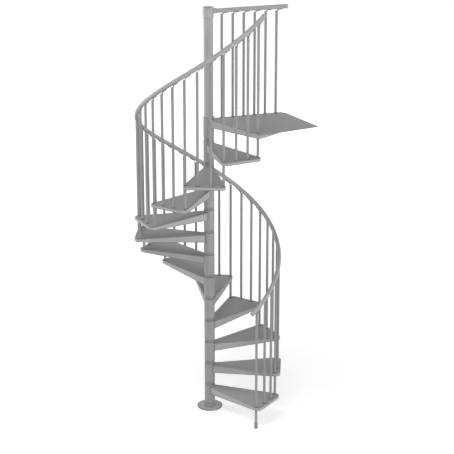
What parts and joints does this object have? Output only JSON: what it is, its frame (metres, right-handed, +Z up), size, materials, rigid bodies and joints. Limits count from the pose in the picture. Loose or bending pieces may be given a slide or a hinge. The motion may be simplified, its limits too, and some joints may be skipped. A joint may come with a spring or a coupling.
{
  "type": "spiral staircase",
  "caption": "Steel spiral staircase with folded sheet treads on a centre pole, a kite-shaped corner landing, round balusters and a helical handrail.",
  "frame": {"origin": "centre of the base plate's bottom face, on the pole's axis at floor level", "axes": "+Z up along the pole; +X and -Y square to the landing's two slab edges; the stair climbs anticlockwise seen from above"},
  "size_m": [1.4557, 1.4349, 3.9868],
  "materials": {
    "tread_paint": "satin",
    "pole_paint": "satin",
    "spacer_paint": "satin",
    "baluster_paint": "satin",
    "rail_paint": "satin",
    "base_paint": "satin",
    "grommet_rubber": "dull",
    "screw_steel": "bright"
  },
  "bodies": {
    "root": {"base_plate": "tread_paint", "base_cover": "base_paint", "centre_pole": "pole_paint", "rise_spacers": "spacer_paint", "pole_cap": "pole_paint", "tread_01": "tread_paint", "tread_02": "tread_paint", "tread_03": "tread_paint", "tread_04": "tread_paint", "tread_05": "tread_paint", "tread_06": "tread_paint", "tread_07": "tread_paint", "tread_08": "tread_paint", "tread_09": "tread_paint", "tread_10": "tread_paint", "tread_11": "tread_paint", "tread_12": "tread_paint", "landing": "tread_paint", "start_baluster": "baluster_paint", "start_foot": "spacer_paint", "balusters_01": "baluster_paint", "balusters_02": "baluster_paint", "balusters_03": "baluster_paint", "balusters_04": "baluster_paint", "balusters_05": "baluster_paint", "balusters_06": "baluster_paint", "balusters_07": "baluster_paint", "balusters_08": "baluster_paint", "balusters_09": "baluster_paint", "balusters_10": "baluster_paint", "balusters_11": "baluster_paint", "balusters_12": "baluster_paint", "landing_balusters": "baluster_paint", "landing_handrail": "rail_paint", "handrail": "rail_paint"}
  },
  "joints": []
}
